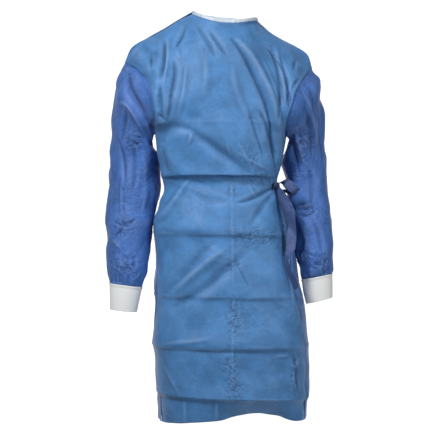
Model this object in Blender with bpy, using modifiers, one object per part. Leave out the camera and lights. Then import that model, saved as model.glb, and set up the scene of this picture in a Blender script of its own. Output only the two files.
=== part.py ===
"""A surgical gown of nonwoven cloth, held open in the shape it takes on a standing wearer.

The gown ties at the wearer's left and wraps over at the back. It is worn facing -Y, so +X is the
wearer's left, and the origin is the middle of the neck opening. Every piece of cloth is a grid laid on
a surface that is lofted through the tables below, then thickened inwards.
"""

import math
from collections import namedtuple

import bmesh
import bpy
import numpy as np

# Cloth, in metres.
CLOTH = 0.0015
KNIT = 0.0025
BINDING = 0.0018
TAPE = 0.0010
SEAM_GAP = 0.0003
BINDING_HEIGHT = 0.0065

# How far the outer flap of the back stands off the inner one, and how far the edges of a seam are set back.
WRAP_GAP = 0.0060
SIDE_SET_BACK = 0.0006
SHOULDER_SET_BACK = 0.0019
ARMHOLE_SET_BACK = 0.0007
ARMHOLE_OUT = 0.0007
CUFF_SET_BACK = 0.0005
SLEEVE_FULLNESS = 0.007

# Where the two flaps of the back end, as a share of the way round the back from the wearer's right at the
# hem, and how far that share has moved at the neck.
OUTER_EDGE, OUTER_EDGE_DRIFT = 0.82, -0.24
INNER_EDGE, INNER_EDGE_DRIFT = 0.20, 0.22

# The hem strip swings fully this far in front of the origin, and not at all this much less far.
SWING_FULL_Y = -0.125
SWING_EASE = 0.080

# Grid sizes, and how many points a curve is traced with before it is spaced evenly.
FINE = 240
SHOULDER_COLUMNS = 5
NECK_COLUMNS = 10
YOKE_ROWS = 9
INNER_NECK_COLUMNS = 8
OUTER_NECK_COLUMNS = 9
TIE_ROWS = 14

# One level ring of the body: its height, the rise of that height for each metre towards +X, the middle
# and half width across, the depth at which it is widest, its reach to the front and to the back from
# there, how square it is (2 is an ellipse), and how many degrees in front of the widest point the side
# seams lie, on the wearer's right and left.
Ring = namedtuple("Ring", "z slope middle half_width widest_y front back square seam_right seam_left")
BODY = (
    Ring(-0.296, 0.000, -0.011, 0.167, -0.040, 0.095, 0.160, 2.3, 6, 6),
    Ring(-0.345, 0.000, -0.012, 0.161, -0.035, 0.096, 0.152, 2.3, 6, 6),
    Ring(-0.385, 0.000, -0.012, 0.153, -0.030, 0.098, 0.140, 2.3, 6, 5),
    Ring(-0.401, 0.000, -0.012, 0.149, -0.025, 0.104, 0.131, 2.3, 6, 4),
    Ring(-0.408, 0.000, -0.011, 0.146, -0.020, 0.092, 0.125, 2.3, 6, 4),
    Ring(-0.425, 0.000, -0.010, 0.144, -0.015, 0.094, 0.118, 2.3, 6, 4),
    Ring(-0.470, 0.000, -0.006, 0.159, -0.010, 0.114, 0.124, 2.3, 7, 5),
    Ring(-0.515, -0.020, -0.006, 0.173, -0.005, 0.130, 0.131, 2.4, 9, 8),
    Ring(-0.543, -0.040, -0.005, 0.178, -0.003, 0.138, 0.134, 2.4, 10, 12),
    Ring(-0.562, -0.030, -0.003, 0.180, 0.000, 0.134, 0.136, 2.4, 11, 18),
    Ring(-0.620, -0.010, 0.005, 0.184, 0.000, 0.138, 0.140, 2.4, 13, 28),
    Ring(-0.703, -0.010, 0.008, 0.192, 0.000, 0.147, 0.144, 2.4, 14, 30),
    Ring(-0.722, -0.010, 0.010, 0.194, 0.000, 0.142, 0.145, 2.4, 14, 29),
    Ring(-0.780, -0.012, 0.013, 0.199, 0.000, 0.145, 0.148, 2.5, 13, 26),
    Ring(-0.832, -0.014, 0.015, 0.200, 0.000, 0.155, 0.150, 2.5, 12, 22),
    Ring(-0.848, -0.016, 0.016, 0.199, 0.000, 0.147, 0.150, 2.5, 11, 21),
    Ring(-0.905, -0.028, 0.018, 0.196, 0.000, 0.147, 0.151, 2.5, 9, 15),
    Ring(-0.966, -0.040, 0.021, 0.196, 0.000, 0.153, 0.152, 2.5, 8, 10),
)

# Where the shoulder ridge runs, from the neck out to the seam of the sleeve: x, y, z.
Ridge = namedtuple("Ridge", "x y z")
RIDGE_RIGHT = (
    Ridge(-0.0845, 0.000, 0.022),
    Ridge(-0.126, 0.004, 0.001),
    Ridge(-0.178, 0.008, -0.029),
    Ridge(-0.231, 0.010, -0.056),
    Ridge(-0.255, 0.010, -0.081),
    Ridge(-0.262, 0.010, -0.107),
)
RIDGE_LEFT = (
    Ridge(0.0845, 0.000, 0.003),
    Ridge(0.123, 0.004, -0.030),
    Ridge(0.1755, 0.008, -0.058),
    Ridge(0.2085, 0.010, -0.078),
    Ridge(0.2230, 0.010, -0.100),
    Ridge(0.2275, 0.010, -0.122),
)

# The neck opening: how far its edge runs forwards and backwards, and how high it is there.
NECK_FRONT_Y, NECK_FRONT_Z = -0.086, -0.010
NECK_BACK_Y, NECK_BACK_Z = 0.066, 0.012

# How the cloth leaves the ring under the arms and arrives at the shoulder or the neck, front and back.
Lead = namedtuple("Lead", "share leave_x leave_y leave_z arrive_x arrive_y arrive_z")
FRONT_LEADS = (
    Lead(0.00, 0.00, -0.42, 0.23, -0.25, 0.25, 0.10),
    Lead(0.25, 0.00, -0.06, 0.33, 0.04, 0.22, 0.12),
    Lead(0.50, 0.00, 0.00, 0.30, 0.00, 0.11, 0.27),
    Lead(0.75, 0.00, -0.06, 0.33, -0.04, 0.22, 0.11),
    Lead(1.00, 0.00, -0.42, 0.17, 0.12, 0.25, 0.10),
)
BACK_LEADS = (
    Lead(0.00, 0.00, 0.40, 0.20, -0.25, -0.25, 0.10),
    Lead(0.167, 0.00, 0.08, 0.33, 0.04, -0.24, 0.11),
    Lead(0.50, 0.00, 0.02, 0.32, 0.00, -0.16, 0.24),
    Lead(0.833, 0.00, 0.08, 0.33, -0.04, -0.24, 0.10),
    Lead(1.00, 0.00, 0.40, 0.17, 0.12, -0.25, 0.10),
)

# The strip below the lowest packing crease, from -X to +X: how far the front of it swings in, in degrees,
# and how long it is.
Strip = namedtuple("Strip", "x degrees length")
HEM_STRIP = (
    Strip(-0.180, 3.0, 0.076),
    Strip(-0.120, 8.0, 0.071),
    Strip(-0.030, 14.0, 0.060),
    Strip(0.010, 30.0, 0.060),
    Strip(0.030, 48.0, 0.064),
    Strip(0.080, 55.0, 0.066),
    Strip(0.140, 44.0, 0.063),
    Strip(0.215, 10.0, 0.054),
)

# The largest folds of the front: a line from (x0, z0) to (x1, z1), its half width and its height.
Fold = namedtuple("Fold", "x0 z0 x1 z1 width height")
FRONT_FOLDS = (
    Fold(-0.162, -0.060, -0.150, -0.250, 0.022, 0.006),
    Fold(0.138, -0.080, 0.150, -0.300, 0.020, -0.010),
    Fold(0.020, -0.120, 0.115, -0.380, 0.026, -0.008),
    Fold(0.075, -0.150, 0.128, -0.330, 0.022, 0.007),
    Fold(-0.150, -0.255, -0.050, -0.262, 0.022, -0.006),
    Fold(0.138, -0.450, 0.168, -0.720, 0.018, -0.007),
    Fold(-0.120, -0.690, 0.030, -0.560, 0.030, 0.005),
)

# A ring of a sleeve: its middle, half width towards the wearer's side, half depth, and how far the outer
# end of that width is tipped up, in degrees.
Cuff = namedtuple("Cuff", "x y z half_width half_depth tip")
SLEEVE_RIGHT = (
    Cuff(-0.2370, 0.008, -0.254, 0.0850, 0.080, 55.0),
    Cuff(-0.2335, 0.022, -0.300, 0.0785, 0.077, 41.0),
    Cuff(-0.2345, 0.030, -0.338, 0.0700, 0.074, 28.0),
    Cuff(-0.2370, 0.034, -0.378, 0.0650, 0.072, 15.0),
    Cuff(-0.2370, 0.030, -0.439, 0.0650, 0.070, 4.0),
    Cuff(-0.2410, 0.020, -0.485, 0.0630, 0.068, 1.0),
    Cuff(-0.2465, 0.006, -0.530, 0.0600, 0.064, 2.0),
    Cuff(-0.2490, -0.010, -0.590, 0.0570, 0.057, 4.0),
    Cuff(-0.2515, -0.022, -0.636, 0.0530, 0.050, 6.0),
    Cuff(-0.2545, -0.029, -0.665, 0.0470, 0.040, 7.0),
    Cuff(-0.2556, -0.032, -0.682, 0.0425, 0.033, 7.5),
)
CUFF_RIGHT = (
    Cuff(-0.2556, -0.032, -0.682, 0.0425, 0.032, 7.5),
    Cuff(-0.2585, -0.037, -0.714, 0.0385, 0.031, 7.0),
    Cuff(-0.2612, -0.042, -0.748, 0.0355, 0.030, 6.0),
)
SLEEVE_LEFT = (
    Cuff(0.2035, 0.008, -0.250, 0.0825, 0.080, 60.0),
    Cuff(0.2020, 0.024, -0.296, 0.0760, 0.077, 47.0),
    Cuff(0.2025, 0.034, -0.336, 0.0660, 0.074, 31.0),
    Cuff(0.2072, 0.038, -0.372, 0.0590, 0.072, 17.0),
    Cuff(0.2135, 0.036, -0.408, 0.0550, 0.070, 7.0),
    Cuff(0.2175, 0.028, -0.450, 0.0550, 0.068, 2.0),
    Cuff(0.2240, 0.016, -0.500, 0.0530, 0.065, 2.0),
    Cuff(0.2290, -0.004, -0.562, 0.0490, 0.060, 4.0),
    Cuff(0.2332, -0.014, -0.605, 0.0455, 0.053, 7.0),
    Cuff(0.2368, -0.022, -0.640, 0.0415, 0.042, 10.0),
    Cuff(0.2375, -0.026, -0.660, 0.0400, 0.033, 11.0),
)
CUFF_LEFT = (
    Cuff(0.2375, -0.026, -0.660, 0.0400, 0.032, 11.0),
    Cuff(0.2395, -0.031, -0.690, 0.0385, 0.031, 12.5),
    Cuff(0.2430, -0.036, -0.722, 0.0360, 0.030, 13.7),
)

# The tie: the line down the middle of each stretch, which way its width points, in degrees from +X
# towards -Y, how far that is tipped up, and how wide it is there: it is bunched at the knot.
Tape = namedtuple("Tape", "x y z turn tip width")
KNOT = (0.1300, -0.074, -0.4270)
KNOT_SIZE = (0.010, 0.010, 0.011)
LOOP = (
    Tape(0.1405, -0.072, -0.4180, 90.0, 0.0, 0.016),
    Tape(0.1478, -0.074, -0.4139, 70.0, 20.0, 0.022),
    Tape(0.1577, -0.080, -0.4205, 20.0, 42.0, 0.025),
    Tape(0.1679, -0.082, -0.4307, 5.0, 45.0, 0.025),
    Tape(0.1770, -0.075, -0.4400, 0.0, 45.0, 0.025),
    Tape(0.1700, -0.066, -0.4370, 5.0, 42.0, 0.025),
    Tape(0.1580, -0.064, -0.4350, 45.0, 25.0, 0.022),
    Tape(0.1420, -0.069, -0.4310, 88.0, 0.0, 0.014),
)
TAIL_FRONT = (
    Tape(0.1350, -0.079, -0.4410, 20.0, 25.0, 0.013),
    Tape(0.1424, -0.081, -0.4480, 10.0, 27.0, 0.019),
    Tape(0.1543, -0.084, -0.4717, 6.0, 26.0, 0.025),
    Tape(0.1644, -0.088, -0.4945, 0.0, 20.0, 0.025),
    Tape(0.1705, -0.090, -0.5199, 15.0, 4.0, 0.025),
    Tape(0.1682, -0.094, -0.5528, 0.0, -5.0, 0.025),
    Tape(0.1644, -0.103, -0.5832, 15.0, -14.0, 0.025),
    Tape(0.1581, -0.112, -0.6061, 50.0, -8.0, 0.025),
    Tape(0.1610, -0.115, -0.6313, 66.0, 14.0, 0.025),
    Tape(0.1720, -0.114, -0.6618, 60.0, 20.0, 0.025),
    Tape(0.1797, -0.112, -0.6850, 55.0, 20.0, 0.025),
)
TAIL_REAR = (
    Tape(0.1345, -0.0660, -0.4430, 50.0, 20.0, 0.013),
    Tape(0.1480, -0.064, -0.4600, 30.0, 22.0, 0.022),
    Tape(0.1620, -0.066, -0.4950, 25.0, 15.0, 0.025),
    Tape(0.1710, -0.070, -0.5300, 30.0, 0.0, 0.025),
    Tape(0.1740, -0.078, -0.5650, 40.0, -5.0, 0.025),
    Tape(0.1720, -0.090, -0.5950, 45.0, -8.0, 0.025),
)
WAIST_Z = -0.4265
WAIST_TAPE_WIDTH = 0.014
WAIST_TAPE_OFF = 0.0056
WAIST_FRONT_ANGLE = -10.0
WAIST_BACK_ANGLE = 50.0

BLUE_FRONT = (0.085, 0.245, 0.520, 1.0)
BLUE_SLEEVE = (0.060, 0.165, 0.440, 1.0)
WHITE_KNIT = (0.760, 0.780, 0.780, 1.0)
WHITE_BINDING = (0.800, 0.840, 0.870, 1.0)
LILAC_TAPE = (0.230, 0.330, 0.580, 1.0)


def smooth(stations, values, at):
    """Monotone cubic curve through the values at the stations, which rise, read at the given places."""
    x, y, at = (np.asarray(v, float) for v in (stations, values, at))
    if y.ndim == 1:
        return smooth(x, y[:, None], at)[..., 0]
    step = np.diff(x)[:, None]
    rise = np.diff(y, axis=0) / step
    same_way = rise[:-1] * rise[1:] > 0
    both = np.where(same_way, rise[:-1] + rise[1:], 1.0)
    slope = np.zeros_like(y)
    slope[1:-1] = np.where(same_way, 2 * rise[:-1] * rise[1:] / both, 0.0)
    slope[0], slope[-1] = rise[0], rise[-1]
    i = np.clip(np.searchsorted(x, at, side="right") - 1, 0, len(x) - 2)
    t = ((at - x[i]) / (x[i + 1] - x[i]))[..., None]
    return hermite(y[i], slope[i] * step[i], y[i + 1], slope[i + 1] * step[i], t)


def hermite(start, leave, end, arrive, t):
    """Point at t from 0 to 1 on the cubic from start to end with those tangents."""
    return (
        (2 * t**3 - 3 * t**2 + 1) * start
        + (t**3 - 2 * t**2 + t) * leave
        + (3 * t**2 - 2 * t**3) * end
        + (t**3 - t**2) * arrive
    )


def evenly(line, count):
    """The line again, as this many points evenly spaced along it."""
    line = np.asarray(line, float)
    along = np.concatenate([[0], np.cumsum(np.linalg.norm(np.diff(line, axis=0), axis=1))])
    at = np.linspace(0, along[-1], count)
    return np.stack([np.interp(at, along, line[:, k]) for k in range(3)], axis=1)


def curve_through(points, count):
    """This many evenly spaced points on a smooth curve through the given ones."""
    fine = smooth(np.arange(len(points)), points, np.linspace(0, len(points) - 1, FINE))
    return evenly(fine, count)


def outward_of(grid):
    """Unit normals of a grid of points whose columns run anticlockwise seen from above, rows upwards."""
    across = np.gradient(grid, axis=1)
    up = np.gradient(grid, axis=0)
    normal = np.cross(across, up)
    return normal / np.maximum(np.linalg.norm(normal, axis=2, keepdims=True), 1e-9)


# ---------------------------------------------------------------- the body


def ring_points(ring, start, end, count):
    """Evenly spaced points on a body ring, from one angle to another in degrees."""
    angle = np.radians(np.linspace(start, end, FINE))
    c, s = np.cos(angle), np.sin(angle)
    power = 2 / ring.square
    reach = np.where(s > 0, ring.back, ring.front)
    x = ring.middle + ring.half_width * np.sign(c) * np.abs(c) ** power
    y = ring.widest_y + reach * np.sign(s) * np.abs(s) ** power
    z = ring.z + ring.slope * (x - ring.middle)
    return evenly(np.stack([x, y, z], axis=1), count)


def ridge(table):
    """A shoulder ridge from the neck outwards."""
    return curve_through(table, SHOULDER_COLUMNS + 1)


def neck_edge(front, count):
    """The front or back half of the neck's edge, from -X to +X."""
    right, left = np.array(RIDGE_RIGHT[0]), np.array(RIDGE_LEFT[0])
    depth, height = (NECK_FRONT_Y, NECK_FRONT_Z) if front else (NECK_BACK_Y, NECK_BACK_Z)
    t = np.linspace(0, 1, FINE)
    bow = np.sin(math.pi * t)
    x = right[0] * (1 + np.cos(math.pi * t)) / 2 + left[0] * (1 - np.cos(math.pi * t)) / 2
    z = (1 - t) * right[2] + t * left[2] + bow**2 * (height - (right[2] + left[2]) / 2)
    return evenly(np.stack([x, depth * bow, z], axis=1), count + 1)


def yoke(base, top, leads):
    """The rows of cloth from the ring under the arms up to the shoulders and the neck."""
    shares = np.linspace(0, 1, len(base))
    table = np.array(leads)
    bend = smooth(table[:, 0], table[:, 1:], shares)
    t = np.linspace(0, 1, YOKE_ROWS + 1)[:, None, None]
    return hermite(base, bend[:, :3], top, bend[:, 3:], t)


def folded(grid, folds):
    """The grid with each fold raised or sunk along its normals."""
    x, z = grid[..., 0], grid[..., 2]
    lift = np.zeros_like(x)
    for fold in folds:
        dx, dz = fold.x1 - fold.x0, fold.z1 - fold.z0
        length = math.hypot(dx, dz)
        along = ((x - fold.x0) * dx + (z - fold.z0) * dz) / length**2
        beside = ((x - fold.x0) * dz - (z - fold.z0) * dx) / length
        ends = np.clip(np.minimum(along, 1 - along) * 4, 0, 1)
        lift += fold.height * np.exp(-((beside / fold.width) ** 2)) * ends
    return grid + outward_of(grid) * lift[..., None]


def hem(crease, swings):
    """The hem below the row of points at the lowest crease. Across the front the strip there swings in."""
    strip = np.array(HEM_STRIP)
    length = np.interp(crease[:, 0], strip[:, 0], strip[:, 2])
    angle = np.radians(np.interp(crease[:, 0], strip[:, 0], strip[:, 1]))
    angle *= swings * np.clip(1 - (crease[:, 1] - SWING_FULL_Y) / SWING_EASE, 0, 1)
    return crease + np.stack([0 * angle, length * np.sin(angle), -length * np.cos(angle)], axis=1)


def whole_front():
    """The front panel: rows from the hem up, columns from the wearer's right to left."""
    columns = 2 * SHOULDER_COLUMNS + NECK_COLUMNS
    rings = BODY[::-1]
    rows = np.array([ring_points(r, 180 + r.seam_right, 360 - r.seam_left, columns + 1) for r in rings])
    top = np.concatenate([ridge(RIDGE_RIGHT)[:0:-1], neck_edge(True, NECK_COLUMNS), ridge(RIDGE_LEFT)[1:]])
    upper = yoke(rows[-1], top, FRONT_LEADS)
    return folded(np.concatenate([[hem(rows[0], True)], rows, upper[1:]]), FRONT_FOLDS)


def whole_back():
    """The back as if it weren't open: rows from the hem up, columns from the wearer's right to left."""
    columns = 2 * SHOULDER_COLUMNS + 2 * NECK_COLUMNS
    rings = BODY[::-1]
    rows = np.array([ring_points(r, 180 + r.seam_right, -r.seam_left, columns + 1) for r in rings])
    top = np.concatenate([ridge(RIDGE_RIGHT)[:0:-1], neck_edge(False, 2 * NECK_COLUMNS), ridge(RIDGE_LEFT)[1:]])
    upper = yoke(rows[-1], top, BACK_LEADS)
    return np.concatenate([[hem(rows[0], False)], rows, upper[1:]])


def flap_shares(up, outer):
    """Where a flap's columns lie, as shares of the way across the back from -X, at this share of its height."""
    shoulder = SHOULDER_COLUMNS / (2 * SHOULDER_COLUMNS + 2 * NECK_COLUMNS)
    if outer:
        edge = OUTER_EDGE + OUTER_EDGE_DRIFT * up**2
        neck = np.linspace(shoulder, edge, OUTER_NECK_COLUMNS + 1)
        return np.concatenate([np.linspace(0, shoulder, SHOULDER_COLUMNS + 1), neck[1:]])
    edge = INNER_EDGE + INNER_EDGE_DRIFT * up**2
    neck = np.linspace(edge, 1 - shoulder, INNER_NECK_COLUMNS + 1)
    return np.concatenate([neck, np.linspace(1 - shoulder, 1, SHOULDER_COLUMNS + 1)[1:]])


def back_flap(surface, outer):
    """One flap of the back. The outer one stands off the inner one where they overlap."""
    at_line = np.linspace(0, 1, surface.shape[1])
    rows = []
    for line, up in zip(surface, np.linspace(0, 1, len(surface))):
        shares = flap_shares(up, outer)
        rows.append(np.stack([np.interp(shares, at_line, line[:, k]) for k in range(3)], axis=1))
    grid = np.array(rows)
    if outer:
        columns = np.arange(grid.shape[1])
        off = np.clip((columns - 1) / (SHOULDER_COLUMNS - 1), 0, 1)[None, :, None] * WRAP_GAP
        grid = grid - outward_of(grid) * off
    return grid


# ---------------------------------------------------------------- the sleeves and cuffs


def tube(table, side, columns):
    """Rings of a sleeve or cuff, each from its outer end round by the front."""
    around = np.linspace(0, 2 * math.pi, columns + 1)
    rings = []
    for r in table:
        tip = math.radians(r.tip)
        outwards = np.array([side * math.cos(tip), 0, math.sin(tip)])
        ring = np.array([r.x, r.y, r.z]) + np.outer(np.cos(around) * r.half_width, outwards)
        rings.append(ring + np.outer(np.sin(around) * r.half_depth, [0, -1, 0]))
    return np.array(rings)


def armhole(front, back, side):
    """The seam of a sleeve: from the shoulder down the front to under the arm, and up the back again."""
    column = -1 if side > 0 else 0
    front_edge = front[-YOKE_ROWS - 1 :, column]
    back_edge = back[-YOKE_ROWS - 1 :, column]
    return np.concatenate([front_edge[::-1], back_edge[1:]])


def towards(points, targets, distance):
    """The points moved this far towards their targets."""
    way = targets - points
    return points + way * (distance / np.linalg.norm(way, axis=-1, keepdims=True))


def sleeve_rings(front, back, table, side):
    """The sleeve's rows from the armhole to where it is gathered into the cuff."""
    rings = tube(table, side, 2 * YOKE_ROWS)
    seam = armhole(front, back, side)
    outwards = np.array([side, 0, 0])
    head = towards(seam, rings[0], ARMHOLE_SET_BACK) + outwards * ARMHOLE_OUT
    rows = np.concatenate([[head], [(head + rings[0]) / 2 + outwards * SLEEVE_FULLNESS], rings])
    return upwards(rows, side)


def upwards(rows, side):
    """Rows that run down the arm, turned to run up it and anticlockwise seen from above."""
    rows = rows[::-1]
    return rows[:, ::-1] if side > 0 else rows


# ---------------------------------------------------------------- solids


def set_back(grid, first_column, last_column, top_row, armhole_rows=0):
    """The grid with its side edges and its top row drawn in, to leave the seams their gaps."""
    grid = grid.copy()
    body, arm = slice(0, len(grid) - armhole_rows), slice(len(grid) - armhole_rows, len(grid))
    for column, inner, on in ((0, 1, first_column), (-1, -2, last_column)):
        if on:
            grid[body, column] = towards(grid[body, column], grid[body, inner], SIDE_SET_BACK)
            grid[arm, column] = towards(grid[arm, column], grid[arm, inner], ARMHOLE_SET_BACK)
    if top_row:
        grid[-1] = towards(grid[-1], grid[-2], SHOULDER_SET_BACK)
    return grid


def material(name, colour, roughness):
    made = bpy.data.materials.new(name)
    made.use_nodes = True
    shader = made.node_tree.nodes["Principled BSDF"]
    shader.inputs["Base Color"].default_value = colour
    shader.inputs["Roughness"].default_value = roughness
    return made


def sheet(name, grid, thickness, look, offset=-1.0, closed=False):
    """An object: the grid of points as cloth of this thickness, laid inside the grid."""
    rows, columns = grid.shape[:2]
    shape = bmesh.new()
    width = columns - 1 if closed else columns
    points = [[shape.verts.new(grid[i, j]) for j in range(width)] for i in range(rows)]
    for i in range(rows - 1):
        for j in range(columns - 1):
            k = (j + 1) % width
            shape.faces.new((points[i][j], points[i][k], points[i + 1][k], points[i + 1][j]))
    mesh = bpy.data.meshes.new(name)
    shape.to_mesh(mesh)
    shape.free()
    mesh.shade_smooth()
    mesh.materials.append(look)
    made = bpy.data.objects.new(name, mesh)
    PARTS.objects.link(made)
    solid = made.modifiers.new("Thickness", "SOLIDIFY")
    solid.thickness = thickness
    solid.offset = offset
    return made


def tape(name, table, look):
    """A stretch of the tie: a strip whose width turns along its line."""
    line = smooth(np.arange(len(table)), np.array(table), np.linspace(0, len(table) - 1, TIE_ROWS))
    turn, tip = np.radians(line[:, 3]), np.radians(line[:, 4])
    way = np.stack([np.cos(tip) * np.cos(turn), -np.cos(tip) * np.sin(turn), np.sin(tip)], axis=1)
    across = np.outer(line[:, 5], [-0.5, 0.0, 0.5])
    return sheet(name, line[:, None, :3] + across[..., None] * way[:, None, :], TAPE, look, offset=0.0)


def waist_tape(look):
    """The tie's stretch round the wearer's left side, from the edge of the outer flap to the knot."""
    ring = min(BODY, key=lambda r: abs(r.z - WAIST_Z))
    line = ring_points(ring, WAIST_BACK_ANGLE, WAIST_FRONT_ANGLE, TIE_ROWS)
    along = np.gradient(line, axis=0)
    outwards = np.stack([-along[:, 1], along[:, 0], np.zeros(len(line))], axis=1)
    outwards /= np.linalg.norm(outwards, axis=1, keepdims=True)
    line = line + outwards * (WAIST_TAPE_OFF + np.linspace(WRAP_GAP, 0, len(line))[:, None])
    line[:, 2] = WAIST_Z
    up = np.array([-0.5, 0.0, 0.5]) * WAIST_TAPE_WIDTH
    grid = line[:, None, :] + up[None, :, None] * np.array([0, 0, 1.0])
    return sheet("waist_tie", grid, TAPE, look, offset=0.0)


def knot(look):
    shape = bmesh.new()
    bmesh.ops.create_icosphere(shape, subdivisions=2, radius=1.0)
    bmesh.ops.scale(shape, vec=KNOT_SIZE, verts=shape.verts)
    bmesh.ops.translate(shape, vec=KNOT, verts=shape.verts)
    mesh = bpy.data.meshes.new("tie_knot")
    shape.to_mesh(mesh)
    shape.free()
    mesh.shade_smooth()
    mesh.materials.append(look)
    made = bpy.data.objects.new("tie_knot", mesh)
    PARTS.objects.link(made)
    return made


def binding(front, outer, inner, look):
    """The strip bound round the neck, from the edge of the outer flap round to that of the inner one."""
    front_neck = front[-1, SHOULDER_COLUMNS:-SHOULDER_COLUMNS]
    outer_neck = outer[-1, SHOULDER_COLUMNS:][::-1]
    inner_neck = inner[-1, :-SHOULDER_COLUMNS][::-1]
    edge = np.concatenate([outer_neck[:-1], front_neck[:-1], inner_neck])
    foot = edge - np.array([0, 0, SEAM_GAP])
    return sheet("neck_binding", np.stack([foot, foot + np.array([0, 0, BINDING_HEIGHT])]), BINDING, look)


def build():
    front_blue = material("front_blue", BLUE_FRONT, 0.6)
    sleeve_blue = material("sleeve_blue", BLUE_SLEEVE, 0.6)
    knit = material("white_knit", WHITE_KNIT, 0.9)
    white = material("white_binding", WHITE_BINDING, 0.8)
    lilac = material("lilac_tape", LILAC_TAPE, 0.6)

    front, back = whole_front(), whole_back()
    outer, inner = back_flap(back, True), back_flap(back, False)
    arm = YOKE_ROWS + 1
    sheet("front_panel", set_back(front, True, True, True, arm), CLOTH, front_blue)
    sheet("back_outer_flap", set_back(outer, True, False, True, arm)[:, ::-1], CLOTH, sleeve_blue)
    sheet("back_inner_flap", set_back(inner, False, True, True, arm)[:, ::-1], CLOTH, sleeve_blue)
    for name, side, rings, cuff in (("right", -1, SLEEVE_RIGHT, CUFF_RIGHT), ("left", 1, SLEEVE_LEFT, CUFF_LEFT)):
        rows = sleeve_rings(front, back, rings, side)
        sheet("sleeve_" + name, rows, CLOTH, sleeve_blue, closed=True)
        knitted = tube(cuff, side, 2 * YOKE_ROWS)
        knitted[0] = towards(knitted[0], knitted[1], CUFF_SET_BACK)
        sheet("cuff_" + name, upwards(knitted, side), KNIT, knit, closed=True)
    binding(front, outer, inner, white)
    waist_tape(lilac)
    knot(lilac)
    tape("tie_loop", LOOP, lilac)
    tape("tie_tail_front", TAIL_FRONT, lilac)
    tape("tie_tail_rear", TAIL_REAR, lilac)


for old in list(bpy.data.objects):
    bpy.data.objects.remove(old, do_unlink=True)
PARTS = bpy.data.collections.new("surgical_gown")
bpy.context.scene.collection.children.link(PARTS)
build()
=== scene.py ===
"""The looks of a disposable surgical gown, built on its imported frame.

Each piece of cloth is read from its solid as a grid of points, resampled finely, given its creases and
thickened again as thin cloth. The gown faces -Y, and +X is the wearer's left.
"""

import math
from collections import namedtuple

import bmesh
import bpy
import numpy as np
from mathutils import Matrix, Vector


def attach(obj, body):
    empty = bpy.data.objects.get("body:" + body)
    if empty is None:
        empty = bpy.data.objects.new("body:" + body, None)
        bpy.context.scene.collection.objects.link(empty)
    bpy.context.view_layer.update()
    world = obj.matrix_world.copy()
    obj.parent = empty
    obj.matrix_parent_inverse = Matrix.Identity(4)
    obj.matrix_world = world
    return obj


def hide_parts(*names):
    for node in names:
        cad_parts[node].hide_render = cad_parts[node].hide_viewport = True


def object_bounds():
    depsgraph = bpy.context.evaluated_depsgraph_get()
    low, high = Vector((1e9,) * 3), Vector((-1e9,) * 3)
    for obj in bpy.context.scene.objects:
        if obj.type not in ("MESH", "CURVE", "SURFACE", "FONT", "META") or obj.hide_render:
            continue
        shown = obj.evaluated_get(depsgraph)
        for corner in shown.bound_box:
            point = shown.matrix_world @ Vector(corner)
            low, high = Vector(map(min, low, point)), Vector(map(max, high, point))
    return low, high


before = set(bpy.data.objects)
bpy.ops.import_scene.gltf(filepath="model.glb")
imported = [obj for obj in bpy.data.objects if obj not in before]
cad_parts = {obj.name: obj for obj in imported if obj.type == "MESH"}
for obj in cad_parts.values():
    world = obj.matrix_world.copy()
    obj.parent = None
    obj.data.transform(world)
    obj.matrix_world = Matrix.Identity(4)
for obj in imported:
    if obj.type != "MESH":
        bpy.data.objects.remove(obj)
CAD_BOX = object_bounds()

# Thickness of the cloth shown, and of the wall that stands for it in the frame, in metres.
Cloth = namedtuple("Cloth", "thickness wall")
FABRIC = Cloth(0.0006, 0.0015)
KNIT = Cloth(0.0018, 0.0025)
BINDING = Cloth(0.0012, 0.0018)
TAPE = Cloth(0.0004, 0.0010)

# How far from a seam, and from a cuff, the creases fade out.
SEAM_MARGIN = 0.012
CUFF_MARGIN = 0.009

# How far a back flap runs on under the front panel at the side and at the shoulder, and how deep it lies
# there; how far the front panel runs on over the shoulder; and where the rows that run on are, as shares.
SIDE_TUCK = 0.0045
SIDE_DEPTH = 0.0014
SHOULDER_TUCK = 0.0036
SHOULDER_DEPTH = 1.6 * SIDE_DEPTH
SHOULDER_LAP = 0.0024
TUCK_STEPS = (0.15, 0.6, 1.0)

# How far the front's lowest strip is set in, and over how many rows it turns in.
HEM_SET_IN = 0.0100
HEM_TURN_ROWS = 2.5

# The yoke's smoothing grows over the first distance down from its top edge, and beyond the second it fades
# over the third. It is done this many times.
YOKE_START = 0.016
YOKE_END = 0.16
YOKE_FADE = 0.10
YOKE_PASSES = 60

# A sleeve's head is drawn in by this share over this length, and its rows under the body by these shares,
# reaching this far. Its lower end runs on under the cuff's band, this far and this deep.
HEAD_SHRINK = 0.016
HEAD_LENGTH = 0.045
HEAD_TUCK = ((0.010, 0.002), (0.025, 0.006), (0.045, 0.010))
SLEEVE_END_TUCK = 0.004
SLEEVE_END_DEPTH = 0.0022

# The gathers above a cuff: how deep they are and how fast they die out up the sleeve.
GATHER_DEPTH = 0.0016
GATHER_REACH = 0.030

# The seam band round the top of a cuff: how far it stands out, how long it is and how soft its lower edge
# is; and how much the cuff swells and narrows along its length.
CUFF_BAND = 0.0016
CUFF_BAND_LENGTH = 0.004
CUFF_BAND_EDGE = 0.003
CUFF_SWELL = 0.0006

# How far the neck binding laps down over the cloth and stands off it, and its puckers and its roundness.
BINDING_LAP = 0.0022
BINDING_OUT = 0.0016
PUCKER_PITCH = 0.0021
PUCKER_DEPTH = 0.0004
BINDING_UNEVEN = 0.0005
BINDING_BELLY = 0.0006

# How deep the ribbons are crushed, how large their crushes are, and the depth that their pale wear and
# painted shade are shown for.
RIBBON_CRUSH = 0.0009
RIBBON_CRUSH_SIZE = 0.010
RIBBON_WEAR_AND_SHADE = 0.0006

# How strongly a crease shows as pale wear on its crest and as painted shade in its trough, for each metre
# that it stands off the cloth round it.
CREASE_WEAR_AND_SHADE = 330.0

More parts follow.
